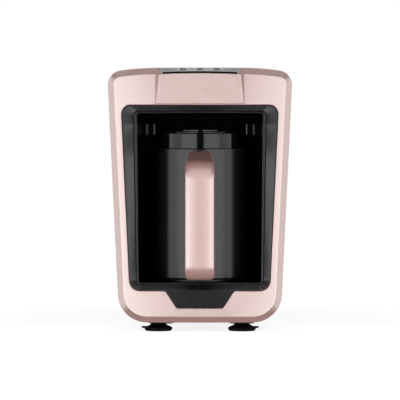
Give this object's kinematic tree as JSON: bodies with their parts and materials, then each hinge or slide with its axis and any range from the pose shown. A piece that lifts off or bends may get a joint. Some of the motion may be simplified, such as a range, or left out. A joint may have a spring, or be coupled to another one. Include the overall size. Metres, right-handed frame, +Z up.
{
  "type": "electric coffee maker",
  "caption": "Electric coffee maker for small pots: tapered bevelled body with an open bay, push buttons on top, and a heated lidded pot with a bent handle that pulls out.",
  "frame": {"origin": "bottom centre of the bounding box, on the table under the feet", "axes": "+Z up, the front with the handle faces -Y, +X to the right seen from the front"},
  "size_m": [0.163, 0.183, 0.2351],
  "materials": {
    "body_shell": "satin rose metallic paint",
    "bezel": "fine satin, dark grey",
    "bay_liner": "fine matt grain",
    "gloss_black": "polished",
    "pot_black": "satin",
    "handle_shell": "satin rose metallic paint",
    "inner_black": "fine matt grain",
    "foot_rubber": "smooth",
    "gasket": "matt silicone",
    "steel_bowl": "brushed",
    "heater_alloy": "cast",
    "ceramic": "matt",
    "screw_steel": "zinc plated",
    "contact_brass": "plated",
    "circuit_board": "solder resist",
    "board_parts": "moulded",
    "light_guide": "translucent",
    "cable": "ribbed"
  },
  "bodies": {
    "housing": {"front_frame": "body_shell", "rear_housing": "body_shell", "base_plate": "inner_black", "bezel": "bezel", "cavity_liner": "bay_liner", "sensor_pod_left": "gloss_black", "sensor_pod_right": "gloss_black", "pot_rest_ring": "inner_black", "pot_socket": "inner_black", "socket_contacts": "contact_brass", "control_panel": "gloss_black", "light_rings": "light_guide", "control_board": "circuit_board", "button_switches": "board_parts", "status_leds": "light_guide", "buzzer": "board_parts", "power_board": "circuit_board", "relay": "board_parts", "power_transformer": "board_parts", "power_components": "board_parts", "ribbon_cable": "cable", "cord_gland": "inner_black", "foot_front_left": "foot_rubber", "foot_front_right": "foot_rubber", "foot_rear_left": "foot_rubber", "foot_rear_right": "foot_rubber", "base_screws": "screw_steel", "frame_screws": "screw_steel", "board_screws": "screw_steel"},
    "left_button": {"button_left": "gloss_black"},
    "center_button": {"button_center": "gloss_black"},
    "right_button": {"button_right": "gloss_black"},
    "pot": {"pot_jacket": "pot_black", "pot_collar": "gloss_black", "collar_gasket": "gasket", "pot_bowl": "steel_bowl", "heating_element": "heater_alloy", "thermostat": "ceramic", "pot_base": "inner_black", "pot_base_screws": "screw_steel", "pot_plug": "inner_black", "plug_contacts": "contact_brass", "handle_outer": "handle_shell", "handle_inner": "inner_black", "handle_screws": "screw_steel"},
    "lid": {"pot_lid": "gloss_black"}
  },
  "joints": [
    {"name": "left_button_press", "type": "slide", "parent": "housing", "child": "left_button", "axis": [0, 0.2079, -0.9781], "range_m": [0, 0.0008], "stiffness_N_per_m": 900},
    {"name": "center_button_press", "type": "slide", "parent": "housing", "child": "center_button", "axis": [0, 0.2079, -0.9781], "range_m": [0, 0.0008], "stiffness_N_per_m": 900},
    {"name": "right_button_press", "type": "slide", "parent": "housing", "child": "right_button", "axis": [0, 0.2079, -0.9781], "range_m": [0, 0.0008], "stiffness_N_per_m": 900},
    {"name": "pot_slide", "type": "slide", "parent": "housing", "child": "pot", "axis": [0, -1, 0], "range_m": [0, 0.13]},
    {"name": "lid_lift", "type": "slide", "parent": "pot", "child": "lid", "axis": [0, 0, 1], "range_m": [0, 0.011]}
  ]
}
